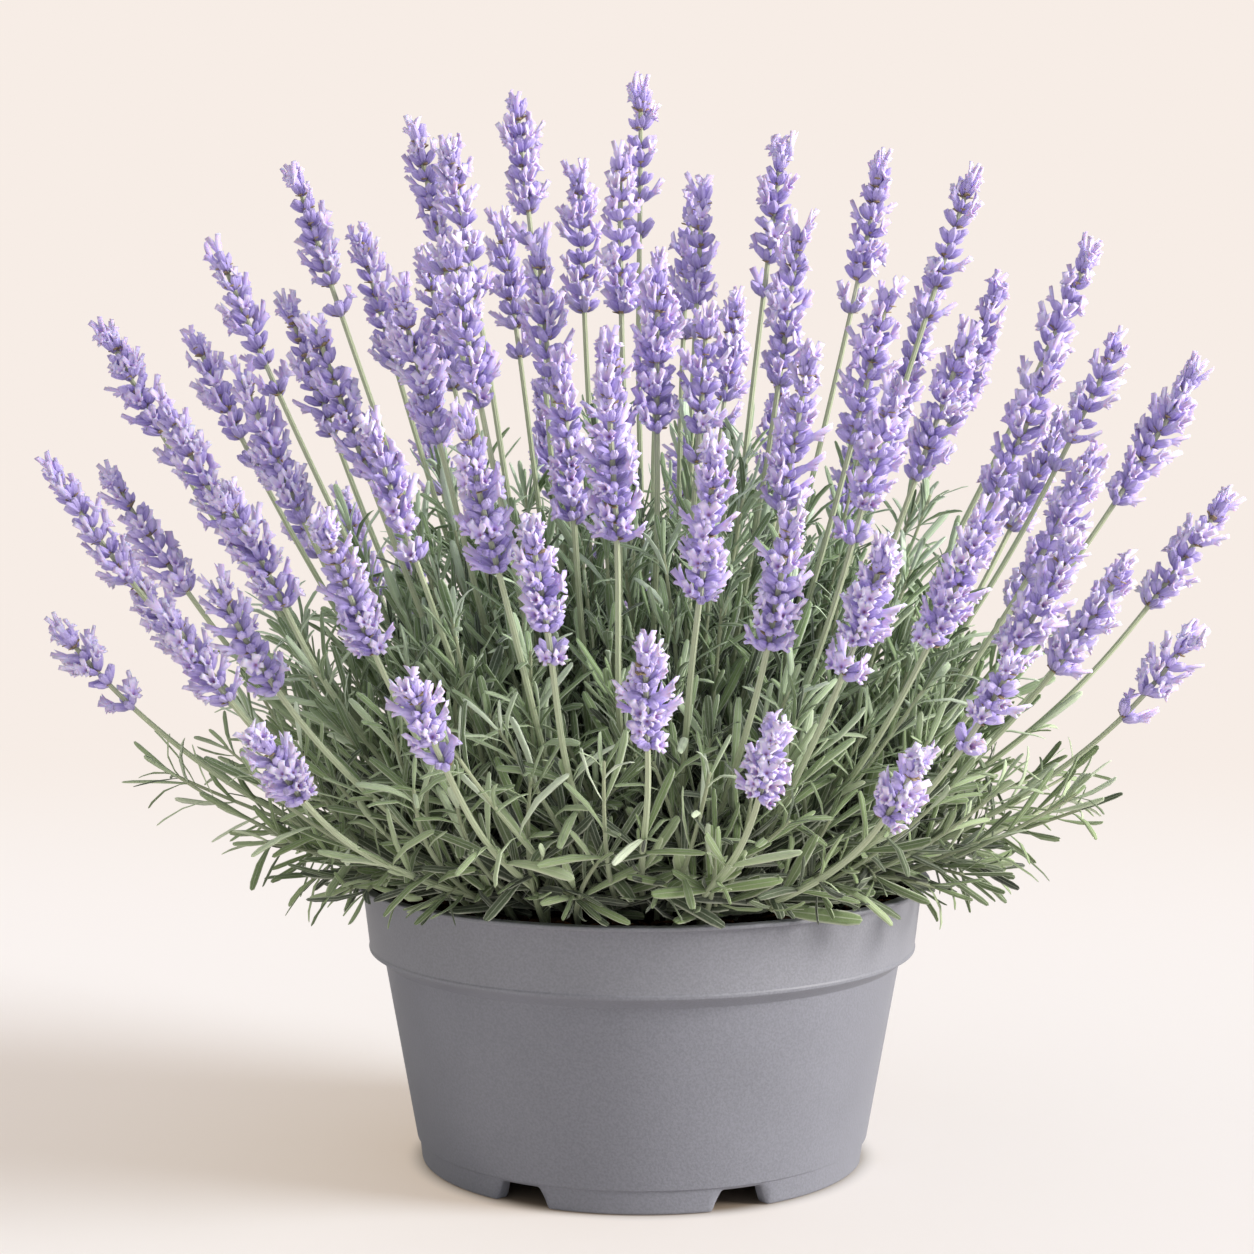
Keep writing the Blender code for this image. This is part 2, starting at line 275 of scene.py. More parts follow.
stem_felt, tree, shader = material(
    "square_sage_stem", 0.65, 1.42, 0.3, Sheen_Weight=0.15, Sheen_Roughness=0.5
)
across, along, tint = growth_of(tree)
wave, share = ribs(tree, across, 4)
sages = ((0.0, "#93a578"), (0.3, "#b2c098"), (0.6, "#bcc9a4"), (1.0, "#b8bd97"))
sage = add(tree, "ValToRGB", {"Fac": along}, out="Color", stops=sages)
groove = add(tree, "Mix", {0: 0.3, 6: sage, 7: "#6f8358"}, **MIX)
sage = add(tree, "Mix", {0: add(tree, "MapRange", share, out="Result"), 6: groove, 7: sage}, **MIX)
# Painted shade and painted light: the tint mixes this shaded dark copy of the sage with the lit pale one below.
shaded = add(tree, "Mix", {0: 0.8, 6: sage, 7: "#344220"}, **MIX)
lit = add(tree, "Mix", {0: 0.3, 6: sage, 7: "#cdd6ba"}, **MIX)
join(tree, shader, add(tree, "Mix", {0: tint, 6: shaded, 7: lit}, **MIX), felt(tree, wave, 0.5)[1], 0.6, 0.12)

calyx_felt, tree, shader = material(
    "violet_calyx_felt", 0.7, 1.42, 0.25, Sheen_Weight=0.3, Sheen_Roughness=0.5
)
across, along, tint = growth_of(tree)
wave, share = ribs(tree, across, 3)
deep = ((0.0, "#6f5c4a"), (0.2, "#6d5c94"), (0.5, "#9787ce"), (1.0, "#c2b2ee"))
light = ((0.0, "#b2a189"), (0.2, "#b4a6db"), (0.5, "#cdbff4"), (1.0, "#e0d5fd"))
violets = [add(tree, "ValToRGB", {"Fac": along}, out="Color", stops=stops) for stops in (deep, light)]
violet = add(tree, "Mix", {0: tint, 6: violets[0], 7: violets[1]}, **MIX)
ridge = add(tree, "MapRange", {**share, "To Min": 0.0, "To Max": 0.35}, out="Result")
violet = add(tree, "Mix", {0: ridge, 6: violet, 7: "#cdc6f4"}, **MIX)
join(tree, shader, violet, felt(tree, wave, 0.5)[1], 0.6, 0.15)
print("stem and calyx materials", stem_felt.name, calyx_felt.name)

# %% Corolla and bract
corolla_skin, tree, shader = material(
    "lilac_corolla_petal", 0.5, 1.4, 0.3, Subsurface_Weight=0.15, Subsurface_Scale=0.002
)
across, along, tint = growth_of(tree)
veins = blotches(tree, 0.8, 2.0, out=None)
PETAL_MARKS = (0.0, 0.4, 0.62, 0.85, 0.95, 1.0)
deep = ("#bba8ef", "#d2c1f9", "#e1d4fd", "#cebbf6", "#936ca0", "#b0662c")
light = ("#d6c7f8", "#eae0fe", "#f2edff", "#e1d3fc", "#a580b4", "#bb6f30")
lilacs = [
    add(tree, "ValToRGB", {"Fac": along}, out="Color", stops=zip(PETAL_MARKS, colors))
    for colors in (deep, light)
]
lilac = add(tree, "Mix", {0: tint, 6: lilacs[0], 7: lilacs[1]}, **MIX)
veined = add(tree, "Mix", {0: 0.2, 6: "#000000", 7: veins.outputs["Color"]}, **MIX)
lilac = add(tree, "Mix", {0: veined, 6: lilac, 7: "#a899ea"}, **MIX)
join(tree, shader, lilac, veins.outputs["Fac"], 0.3, 0.3)

bract_skin, tree, shader = material("papery_bract", 0.75, 1.4, 0.2)
tint = add(tree, "Attribute", out="Fac", attribute_name="tint")
fibres = blotches(tree, 0.7, 3.0)
straw = add(tree, "Mix", {0: tint, 6: "#a08d68", 7: "#c8b893"}, **MIX)
join(tree, shader, add(tree, "Mix", {0: fibres, 6: straw, 7: "#8f7e62"}, **MIX), fibres, 0.4, 0.3)

SKINS = {
    "leaf": leaf_felt,
    "stem": stem_felt,
    "calyx": calyx_felt,
    "corolla": corolla_skin,
    "bract": bract_skin,
    "pot": polypropylene,
    "peat": peat,
    "bark": bark,
}
print("materials", sorted(material.name for material in SKINS.values()))

# %% [markdown]
# ## Closed surfaces from rings
#
# Almost everything here, from the pot to a floret, is a stack of rings closed at both ends. One
# function joins the rings into a skin of triangles and caps it with two poles. It keeps a UV map
# that runs round the ring and back again, so no face straddles a seam.


# %% Rings to skin
def unit(vectors):
    """Each vector divided by its own length."""
    return vectors / np.maximum(np.linalg.norm(vectors, axis=-1, keepdims=True), 1e-12)


def turned(radius, angle, height):
    """Points at a radius, an angle and a height: radius × cos, radius × sin, height."""
    return np.stack(np.broadcast_arrays(radius * np.cos(angle), radius * np.sin(angle), height), -1)


def skin_of_rings(rings, first=None, last=None, across=None):
    """A closed surface through rings (rows × around × 3), with a pole at each end.

    Row i, column j joins to row i+1 and to column j+1 round the ring, as two triangles. The poles
    are the end rings' centres unless given. u runs 0 to 1 and back round the ring, or follows
    across; v is the row's share of the way from first pole to last.
    """
    rows, around = rings.shape[:2]
    first = rings[0].mean(0) if first is None else np.asarray(first, float)
    last = rings[-1].mean(0) if last is None else np.asarray(last, float)
    points = np.concatenate([rings.reshape(-1, 3), [first], [last]])
    here = np.arange(rows * around).reshape(rows, around)
    beside = np.roll(here, -1, axis=1)
    a, b, c, d = here[:-1], beside[:-1], beside[1:], here[1:]
    sides = [np.stack(corners, -1).reshape(-1, 3) for corners in ((a, b, c), (a, c, d))]
    start = np.stack([beside[0], here[0], np.full(around, rows * around)], -1)
    end = np.stack([here[-1], beside[-1], np.full(around, rows * around + 1)], -1)
    if across is None:
        across = 1 - np.abs(2 * np.arange(around) / around - 1)
    across = np.asarray(across, float)
    share = (np.arange(rows) + 1) / (rows + 1)
    uv = np.stack(np.broadcast_arrays(across[None, :], share[:, None]), -1).reshape(-1, 2)
    uv = np.concatenate([uv, [[across.mean(), 0.0], [across.mean(), 1.0]]])
    return {"points": points, "triangles": np.concatenate([*sides, start, end]), "uv": uv}


def placed(shape, origins, axes, scales, tints):
    """Copies of a small shape: each point is origin + sum over its three axes of coordinate × scale × axis.

    origins is n × 3, axes n × 3 × 3 with one local axis in each row, scales n × 3 or n, tints n.
    """
    count = len(origins)
    size = len(shape["points"])
    scales = np.broadcast_to(np.reshape(scales, (count, -1)), (count, 3))
    points = origins[:, None, :] + np.einsum("vk,nk,nkj->nvj", shape["points"], scales, axes)
    triangles = shape["triangles"][None] + (np.arange(count) * size)[:, None, None]
    return {
        "points": points.reshape(-1, 3),
        "triangles": triangles.reshape(-1, 3),
        "uv": np.tile(shape["uv"], (count, 1)),
        "tint": np.repeat(tints, size),
    }


def scattered(skin, shapes, kind, *where):
    """Copies of several small shapes, each place taking the shape that its kind numbers, or none."""
    return [
        (skin, placed(shape, *(values[kind == number] for values in where)))
        for number, shape in enumerate(shapes)
        if (kind == number).any()
    ]


# %% Surfaces to one object
def make_piece(name, growth, smooth_degrees=None):
    """One mesh object from a list of (skin name, surface) pairs, with its UV map and tint attribute."""
    names = list(dict.fromkeys(skin for skin, _ in growth))
    surfaces = [surface for _, surface in growth]
    counts = [len(surface["points"]) for surface in surfaces]
    offsets = np.cumsum([0] + counts)[:-1]
    points, uv = (np.concatenate([surface[key] for surface in surfaces]) for key in ("points", "uv"))
    triangles = np.concatenate([surface["triangles"] + offset for surface, offset in zip(surfaces, offsets)])
    tints = [surface.get("tint", np.full(count, 0.5)) for surface, count in zip(surfaces, counts)]
    index = [np.full(len(surface["triangles"]), names.index(skin)) for skin, surface in growth]
    mesh = bpy.data.meshes.new(name)
    mesh.vertices.add(len(points))
    mesh.vertices.foreach_set("co", points.astype(np.float32).ravel())
    mesh.loops.add(triangles.size)
    mesh.loops.foreach_set("vertex_index", triangles.astype(np.int32).ravel())
    mesh.polygons.add(len(triangles))
    mesh.polygons.foreach_set("loop_start", np.arange(0, triangles.size, 3, dtype=np.int32))
    mesh.polygons.foreach_set("material_index", np.concatenate(index).astype(np.int32))
    mesh.update(calc_edges=True)
    mesh.polygons.foreach_set("use_smooth", np.ones(len(triangles), bool))
    layer = mesh.uv_layers.new(name="growth")
    layer.data.foreach_set("uv", uv[triangles.ravel()].astype(np.float32).ravel())
    tint = mesh.attributes.new("tint", "FLOAT", "POINT")
    tint.data.foreach_set("value", np.concatenate(tints).astype(np.float32))
    for skin in names:
        mesh.materials.append(SKINS[skin])
    if smooth_degrees:
        mesh.set_sharp_from_angle(angle=math.radians(smooth_degrees))
    piece = bpy.data.objects.new(name, mesh)
    bpy.context.scene.collection.objects.link(piece)
    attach(piece, "root")
    return piece


# %% [markdown]
# ## The pot
#
# The pot is turned: one section carried round the axis. The section is a list of corners in
# millimetres, each with the radius of its fillet. Moulded corners are never sharp: the lip is
# rolled by half a millimetre and the inside of the shoulder by two. The section's widest radius
# is printed next to the collision model's own.

# %% Round the section's corners
POT_CORNERS = (
    (82.6, 9.0, 0.8), (81.8, 0.0, 0.5), (84.6, 0.0, 1.4), (85.6, 8.9, 0.25),
    (86.5, 9.3, 0.25), (98.5, 77.4, 1.2), (102.2, 80.2, 1.0), (104.3, 81.6, 0.5),
    (104.5, 82.6, 0.3), (104.2, 83.2, 0.4), (106.9, 106.3, 0.3), (110.0, 106.6, 0.5),
    (110.0, 108.0, 0.55), (105.3, 108.0, 0.55), (102.7, 81.0, 2.0), (97.0, 77.4, 2.0),
    (84.9, 11.0, 2.0),
)
FLOOR_UNDER = 9.0
FLOOR_TOP = 11.0
FILLET_STEPS = 4


def rounded(corners, start, end):
    """Each corner becomes a parabola from where its fillet leaves one side to where it meets the other."""
    route = np.array([start] + [corner[:2] for corner in corners] + [end], float)
    share = np.linspace(0, 1, FILLET_STEPS)[:, None]
    rows = []
    for index, corner in enumerate(corners, 1):
        before = unit(route[index - 1] - route[index])
        after = unit(route[index + 1] - route[index])
        half_turn = np.arccos(np.clip(-before @ after, -1, 1)) / 2
        leave = corner[2] * math.tan(half_turn)
        a, b = route[index] + before * leave, route[index] + after * leave
        rows.append((1 - share) ** 2 * a + 2 * share * (1 - share) * route[index] + share**2 * b)
    return np.concatenate(rows) / 1000


section = rounded(POT_CORNERS, (0.0, FLOOR_UNDER), (0.0, FLOOR_TOP))
solid = np.array([v.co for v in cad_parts["pot"].data.vertices])
print("section rows", len(section), "widest", round(section[:, 0].max() * 1000, 2), "mm")
print("collision pot", np.round(np.hypot(*solid.T[:2]).max() * 1000, 2), "mm")

# %% [markdown]
# Six notches in the foot ring let water out, so the height of the ring's lower edge is a function
# of the angle. Each notch is a trapezium with soft corners. The ring thins towards it on the
# inside, and its outer edge is eased there, as a mould that has to let go leaves it.

# %% Turn the pot and open the notches
NOTCH_HALF_FOOT = 11.3
NOTCH_HALF_TOP = 7.9
NOTCH_HEIGHT = 7.8
NOTCH_SOFT = 0.5
NOTCH_REACH = 12.2
NOTCH_CLEAR = 13.0
FOOT_TOP = 8.6
FOOT_ARC = 85.7
FOOT_OUTSIDE = 0.0859
FOOT_INSIDE = 0.0834
HOOK = 0.0034
EASED = 0.0008
notch_angles = np.radians(-90 - 3.4 + 28 + 60.8 * np.arange(6))


def arc_to_notch(angles):
    """Millimetres along the foot ring from each angle to the middle of the nearest notch."""
    away = np.angle(np.exp(1j * (angles[:, None] - notch_angles[None])))
    return np.abs(away).min(1) * FOOT_ARC


def soft_notch(angles):
    """The trapezium with its two top corners rounded: a slope that a soft step holds at the full height."""
    rise = (NOTCH_HALF_FOOT - arc_to_notch(angles)) / (NOTCH_HALF_FOOT - NOTCH_HALF_TOP) * NOTCH_HEIGHT
    rise = np.clip(rise, 0, None)
    return rise - NOTCH_SOFT * np.logaddexp(0, (rise - NOTCH_HEIGHT) / NOTCH_SOFT)


near_notch = notch_angles[:, None] + np.linspace(-NOTCH_REACH, NOTCH_REACH, 37)[None] / FOOT_ARC
angles = np.arange(240) / 240 * math.tau
angles = np.sort(np.concatenate([angles[arc_to_notch(angles) > NOTCH_CLEAR], near_notch.ravel() % math.tau]))
edge = np.clip(soft_notch(angles), 0, NOTCH_HEIGHT) / 1000
height = np.broadcast_to(section[:, 1:], (len(section), len(angles))).copy()
in_foot = (section[:, 1] < FOOT_TOP / 1000) & (section[:, 0] < FOOT_OUTSIDE)
height[in_foot] = edge[None] + height[in_foot] * (1 - edge[None] / (FOOT_TOP / 1000))
arc = arc_to_notch(angles)
hook = HOOK * np.exp(-(((arc - NOTCH_HALF_FOOT) / 4.0) ** 2)) * (arc > NOTCH_HALF_TOP - 2)
eased = EASED * np.exp(-(((arc - NOTCH_HALF_FOOT + 1.2) / 1.6) ** 2))
foot_inner = in_foot & (section[:, 0] < FOOT_INSIDE)
foot_outer = in_foot & ~foot_inner
radius = section[:, :1] - foot_inner[:, None] * hook[None] - foot_outer[:, None] * eased[None]
poles = (0, 0, FLOOR_UNDER / 1000), (0, 0, FLOOR_TOP / 1000)
pot_surface = skin_of_rings(turned(radius, angles, height), *poles)
pot = make_piece("grey_nursery_pot", [("pot", pot_surface)], smooth_degrees=40)
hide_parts("pot")
print("pot triangles", len(pot_surface["triangles"]), "angles", len(angles))

# %% [markdown]
# ## The compost
#
# The compost fills the pot to 6 mm below the rim and rises a little towards the middle, where the
# plant was potted. Its surface is lumpy at several scales at once, which a sum of a few dozen
# waves in random directions gives.

# %% Lumpy ground
COMPOST_EDGE = 0.1045
COMPOST_LEVEL = 0.102
COMPOST_DOME = 0.0048
UNDERSIDE = np.array([(0.0846, 0.0113), (0.0966, 0.0777), (0.1023, 0.0813)])


def waves(x, y, lengths_mm, heights_mm):
    """Lumpy height at x, y: for each wavelength, eight sine waves in random directions, added."""
    total = np.zeros_like(x)
    for length, tall in zip(lengths_mm, heights_mm):
        turn, phase = random.uniform(0, math.tau, (2, 8))
        wave = math.tau / (length * MILLIMETRE)
        phases = x[..., None] * wave * np.cos(turn) + y[..., None] * wave * np.sin(turn) + phase
        total += np.sin(phases).sum(-1) * tall * MILLIMETRE / math.sqrt(8)
    return total


def settled(radius):
    """The compost's height without its lumps: a level edge and a low dome, one minus the radius squared."""
    return COMPOST_LEVEL + COMPOST_DOME * (1 - (radius / COMPOST_EDGE) ** 2)


compost_radii = np.linspace(0.0015, COMPOST_EDGE, 80)[:, None]
turns = np.arange(260) / 260 * math.tau
x, y = compost_radii * np.cos(turns), compost_radii * np.sin(turns)
lumps = waves(x, y, (3.2, 5.5, 9.0, 21.0), (0.35, 0.5, 0.7, 0.8))
z = settled(compost_radii) + np.clip(lumps, -0.004, 0.003)
under = turned(UNDERSIDE[:, :1], turns, UNDERSIDE[:, 1:])
compost_surface = skin_of_rings(np.concatenate([under, np.stack([x, y, z], -1)[::-1]]), (0, 0, 0.0113))
print("compost top, mm", round(z.max() * 1000, 1))

# %% [markdown]
# Bark chips lie on the compost, each a small block that is worn, flat and turned at random.

# %% Bark chips
CHIPS = 520
CHIP_RING = np.array([(1, -0.8), (1, 0.7), (0.2, 1), (-0.9, 0.8), (-1, -0.6), (0.1, -1)])
CHIP_LEVELS = ((-0.8, 1.0), (0.9, 0.82))
chip_rings = np.stack([np.column_stack([CHIP_RING * wide, np.full(6, level)]) for level, wide in CHIP_LEVELS])
chip_shape = skin_of_rings(chip_rings, (0, 0, -1), (0.1, 0, 1.0))
chip_r = (COMPOST_EDGE - 0.003) * np.sqrt(random.uniform(0, 1, CHIPS))
chip_turn = random.uniform(0, math.tau, CHIPS)
chip_places = turned(chip_r, chip_turn, settled(chip_r) + 0.0009)
tilt = random.normal(0, 0.35, (CHIPS, 2))
spin = random.uniform(0, math.tau, CHIPS)
upright = unit(np.stack([tilt[:, 0], tilt[:, 1], np.ones(CHIPS)], -1))
level = unit(np.cross(upright, np.stack([np.cos(spin), np.sin(spin), np.zeros(CHIPS)], -1)))
chip_axes = np.stack([level, np.cross(upright, level), upright], 1)
chip_scales = random.uniform((1.2, 0.8, 0.35), (4.6, 2.4, 0.9), (CHIPS, 3)) * MILLIMETRE
chips = placed(chip_shape, chip_places, chip_axes, chip_scales, random.uniform(0, 1, CHIPS))
compost = make_piece("bark_compost", [("peat", compost_surface), ("bark", chips)])
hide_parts("compost")
print("bark chips", CHIPS)

# %% [markdown]
# ## Reading where the shoots are
#
# Each collision solid is a chain of fifteen rings along one shoot: the root collar and its top,
# four more for the leafy part, three for the low whorl and six for the spike. The rings give the
# line that the real shoot follows and where its parts begin, so they are recovered from the
# solid's points.

# %% Courses of the shoots
RINGS = 15
RING_SIDES = 8
STEP = 0.0015
LEAF_END, WHORL, SPIKE, TIP = 5, -8, -6, -1


def measured(line):
    """Distance along a line at each of its points: the lengths of its pieces, added up."""
    return np.concatenate([[0], np.cumsum(np.linalg.norm(np.diff(line, axis=0), axis=1))])


def smooth_line(at, points, wanted):
    """Points on a curve of the fourth degree in each of x, y and z, fitted through known ones."""
    fits = [np.polynomial.Polynomial.fit(at, points[:, k], 4) for k in range(3)]
    return np.stack([fit(wanted) for fit in fits], -1)


def read_at(distances, known, values):
    """Each column of values, read by straight lines between its known distances."""
    return np.stack([np.interp(distances, known, values[:, k]) for k in range(3)], -1)


def course_of(line, marks):
    """A course sampled every 1.5 mm: its points, unit tangents, distance along, and its part marks."""
    lengths = measured(line)
    even = np.linspace(0, lengths[-1], max(int(lengths[-1] / STEP), 8))
    points = read_at(even, lengths, line)
    forward = unit(np.gradient(points, axis=0))
    heading = points[-1] * (1, 1, 0)
    outward = unit(heading) if np.linalg.norm(heading) > 1e-4 else np.array([0.0, -1.0, 0.0])
    side = np.cross((0, 0, 1), outward)
    return {"points": points, "forward": forward, "side": side, "s": even, "marks": marks}


def course_from_solid(name):
    """One solid's course: fit a line through its points, then sort them into rings along it."""
    points = np.array([v.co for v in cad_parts[name].data.vertices], float)
    points = np.unique(np.round(points, 6), axis=0)
    low = points[points[:, 2] < points[:, 2].min() + 0.002].mean(0)
    far = points[np.argmax(np.linalg.norm(points - low, axis=1))]
    share = (points - low) @ unit(far - low) / np.linalg.norm(far - low)
    fine = np.linspace(-0.01, 1.01, 600)
    for _ in range(4):
        line = smooth_line(share, points, fine)
        share = fine[np.argmin(np.linalg.norm(points[:, None] - line[None], axis=2), axis=1)]
    order = np.argsort(share)
    breaks = np.sort(np.argsort(np.diff(share[order]))[::-1][: RINGS - 1]) + 1
    groups = np.split(order, breaks)
    centres = np.array([points[group].mean(0) for group in groups])
    distance = measured(centres)
    line = smooth_line(distance, centres, np.linspace(0, distance[-1], 300))
    return course_of(line, distance), {len(group) for group in groups}


courses, odd = {}, []
for name in sorted(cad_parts):
    if name.startswith("flowering_shoot_"):
        courses[int(name[-2:])], sizes = course_from_solid(name)
        odd += [name] if sizes != {RING_SIDES} else []
print("courses", len(courses), "with a ring shared out unevenly", len(odd))


# %% Walk along a course
def walk(course, distances):
    """Places and frames at distances along a course. A frame's rows are side, upper and forward."""
    distances = np.clip(distances, 0, course["s"][-1])
    place, forward = (read_at(distances, course["s"], course[key]) for key in ("points", "forward"))
    forward = unit(forward)
    upper = unit(np.cross(forward, np.broadcast_to(course["side"], forward.shape)))
    return place, np.stack([np.cross(upper, forward), upper, forward], 1)


def between(first, second, share, stretch):
    """A course part of the way from one to another: points and marks are blended at equal shares."""
    lines = [walk(course, np.linspace(0, course["s"][-1], 200))[0] for course in (first, second)]
    line = lines[0] * (1 - share) + lines[1] * share
    line = line[0] + (line - line[0]) * stretch
    return course_of(line, (first["marks"] * (1 - share) + second["marks"] * share) * stretch)


# %% [markdown]
# ## Leaves
#
# A lavender leaf is a narrow strap, 20 to 40 mm long and 3 to 5 mm wide, with a rounded tip and
# margins rolled down. Its section is a thin lens of six points with a groove over the midrib.
# Four leaves that bend differently are enough: turned, stretched and tinted at random, they never
# look alike.


# %% Leaf shapes
LEAF_MARKS = np.array([0.0, 0.16, 0.5, 0.84, 0.96])
LEAF_WIDTHS = np.array([0.34, 0.6, 1.0, 0.97, 0.64])
LEAF_SECTION = np.array([(1, -0.16), (0.5, 0.13), (0, 0.02), (-0.5, 0.13), (-1, -0.16), (0, -0.2)])
LEAF_TIP = 0.03


def leaf_shape(half_width, bend, twist, rows=(0, 1, 2, 3, 4)):
    """A strap leaf 1 long on Z: the section's width follows v, and its middle line turns by bend."""
    v = LEAF_MARKS[list(rows)]
    width = half_width * LEAF_WIDTHS[list(rows)]
    turn = bend * v
    mean_turn = (turn[1:] + turn[:-1]) / 2
    up = np.concatenate([[0], np.cumsum(np.diff(v) * -np.sin(mean_turn))])
    along = np.concatenate([[0], np.cumsum(np.diff(v) * np.cos(mean_turn))])
    roll = (twist * v)[:, None]
    x = LEAF_SECTION[:, 0] * np.cos(roll) - LEAF_SECTION[:, 1] * np.sin(roll)
    y = LEAF_SECTION[:, 0] * np.sin(roll) + LEAF_SECTION[:, 1] * np.cos(roll)
    y = y * width[:, None]
    lifts = up[:, None] + y * np.cos(turn)[:, None], along[:, None] + y * np.sin(turn)[:, None]
    tip = (0, up[-1] - LEAF_TIP * math.sin(bend), along[-1] + LEAF_TIP * math.cos(bend))
    rings = np.stack([x * width[:, None], *lifts], -1)
    return skin_of_rings(rings, (0, 0, -0.01), tip, across=(1, 0.75, 0.5, 0.25, 0, 0.5))


LEAF_BENDS = ((0.074, 0.25, 0.1), (0.068, 0.7, -0.25), (0.076, -0.35, 0.3), (0.07, 1.1, 0.15))
LEAVES = [leaf_shape(*bends) for bends in LEAF_BENDS]
print("leaf triangles", len(LEAVES[0]["triangles"]))

# %% [markdown]
# A leaf points away from its stem at an angle and turns its upper face towards the stem's tip.
# Calyxes, corollas and bracts stand the same way, so one function gives the axes of all of them.


# %% Which way a leaf or floret faces
def around_stem(frames, turn):
    """The direction square to a stem at an angle round it: side × cos + upper × sin."""
    return frames[:, 0] * np.cos(turn)[:, None] + frames[:, 1] * np.sin(turn)[:, None]


def leaning(start, radial, forward, angle, roll):
    """Axes (across, face, along) of a piece that leans by an angle from the start direction to the radial."""
    along = unit(start * np.cos(angle)[:, None] + radial * np.sin(angle)[:, None])
    face = unit(forward - along * (forward * along).sum(1, keepdims=True))
    across = np.cross(face, along)
    face = face * np.cos(roll)[:, None] + across * np.sin(roll)[:, None]
    return np.stack([np.cross(face, along), face, along], 1)


# %% [markdown]
# Two rules make a bush out of loose leaves. A leaf is painted darker the nearer it is to the heart
# of the dome, where little light comes: painted shade. And it is left out where it would cut
# through the pot, lie in the compost, or hang far down outside the rim, which real leaves do a
# little more at the sides.

# %% Inside the dome and clear of the pot
HEART = np.array([0.0, 0.0, 0.1])
DOME_LEANS = np.radians((0, 30, 60, 80, 100))
DOME_REACH = (0.190, 0.188, 0.190, 0.172, 0.140)
DARK_SHARE = 0.35
WALL_INSIDE = 0.1005
WALL_OUTSIDE = 0.1125
RIM_OUTSIDE = 0.11
RIM_CLEAR = 0.1105
BURIED = 0.104
HANG_FRONT = 0.1045
HANG_SIDES = 0.012


def outerness(points):
    """0 at the bush's heart, 1 at its surface: distance from the heart over the dome's reach there."""
    reach = points - HEART
    distance = np.linalg.norm(reach, axis=-1)
    lean = np.arccos(np.clip(reach[..., 2] / np.maximum(distance, 1e-6), -1, 1))
    share = distance / np.interp(lean, DOME_LEANS, DOME_REACH)
    return np.clip((share - DARK_SHARE) / (1 - DARK_SHARE), 0, 1)


def clear_of_pot(origin, axes, length, bend):
    """True for a leaf of which eight points, on an arc of its bend, stay clear and hang little."""
    share = np.linspace(0.1, 1.03, 8)
    turn = bend[:, None] * share
    safe = np.where(np.abs(bend) < 1e-3, 1e-3, bend)[:, None]
    along, drop = np.sin(turn) / safe, (1 - np.cos(turn)) / safe
    points = axes[:, None, 2] * along[..., None] - axes[:, None, 1] * drop[..., None]
    points = origin[:, None] + points * length[:, None, None]
    away = np.hypot(points[..., 0], points[..., 1])
    height = points[..., 2]
    in_wall = (away > WALL_INSIDE) & (away < WALL_OUTSIDE) & (height < RIM_CLEAR)
    beside = (points[..., 0] / away) ** 2
    lowest = HANG_FRONT - HANG_SIDES * beside + 0.35 * (away - RIM_OUTSIDE) * (1 - beside)
    hangs = (away >= RIM_OUTSIDE) & (height < lowest)
    buried = (away <= WALL_INSIDE) & (height < BURIED)
    return ~(in_wall | hangs | buried).any(1)


# %% [markdown]
# Leaves stand in pairs, each pair square to the one below. In the corner between a leaf and the
# stem sits a tuft of shorter ones. Towards the stem's tip the leaves are narrower, paler and
# closer to it.


# %% Leaves along a stem
def leaves_on(course, start, end, spacing, lengths, openings, tuft):
    """Pairs of leaves from start to end, with tuft × 2 short ones in their corners.

    Length and opening angle run from the first to the second of their two values with the share
    of the way along.
    """
    count = max(int((end - start) / spacing), 2)
    nodes = start + (end - start) * (np.arange(count) + random.uniform(-0.15, 0.15, count)) / count
    per_node = 2 + 2 * tuft
    at = np.repeat(nodes, per_node)
    many = len(at)
    share = np.clip((at - start) / (end - start), 0, 1)
    pair = np.tile(np.arange(per_node), count)
    quarter = np.repeat(np.arange(count) * math.pi / 2 + random.uniform(0, math.tau), per_node)
    turn = quarter + (pair % 2) * math.pi + random.normal(0, 0.22, many)
    in_tuft = pair >= 2
    turn = turn + in_tuft * random.normal(0, 0.6, many)
    angle = np.radians(openings[0] + (openings[1] - openings[0]) * share) + random.normal(0, 0.14, many)
    angle = np.where(in_tuft, angle * random.uniform(0.35, 0.85, many), angle)
    length = (lengths[0] + (lengths[1] - lengths[0]) * share) * random.uniform(0.8, 1.15, many)
    length = np.where(in_tuft, length * random.uniform(0.4, 0.8, many), length)
    place, frames = walk(course, at)
    forward = frames[:, 2]
    axes = leaning(forward, around_stem(frames, turn), forward, angle, random.normal(0, 0.25, many))
    origin = place + axes[:, 2] * 0.0006
    widths = np.where(in_tuft, 0.8, 1.0) * (1.1 - 0.15 * (tuft == 0) - 0.42 * share)
    widths = widths * random.uniform(0.85, 1.12, many)
    scales = np.stack([length * widths, length, length], -1)
    # Painted shade: the tint is lower, and so the leaf darker, the nearer the leaf is to the dome's heart. The
    # tint is also lower on leaves low in the bush.
    tints = 0.02 + 0.7 * outerness(origin + axes[:, 2] * length[:, None] * 0.6) + 0.14 * share
    tints = tints * np.interp(origin[:, 2], (0.105, 0.17), (0.66, 1.0)) + random.normal(0, 0.18, many)
    kind = random.integers(0, len(LEAVES), many)
    kind = np.where(clear_of_pot(origin, axes, length, np.array(LEAF_BENDS)[kind, 1]), kind, -1)
    return scattered("leaf", LEAVES, kind, origin, axes, scales, np.clip(tints, 0, 0.92))


# %% [markdown]
# ## Stems
#
# The stem is square with softened corners, 2.7 mm across at the foot and 1.8 mm under the spike.
# It is one tube of eight sides carried along the course, and it wanders a little from side to
# side as a real one does.


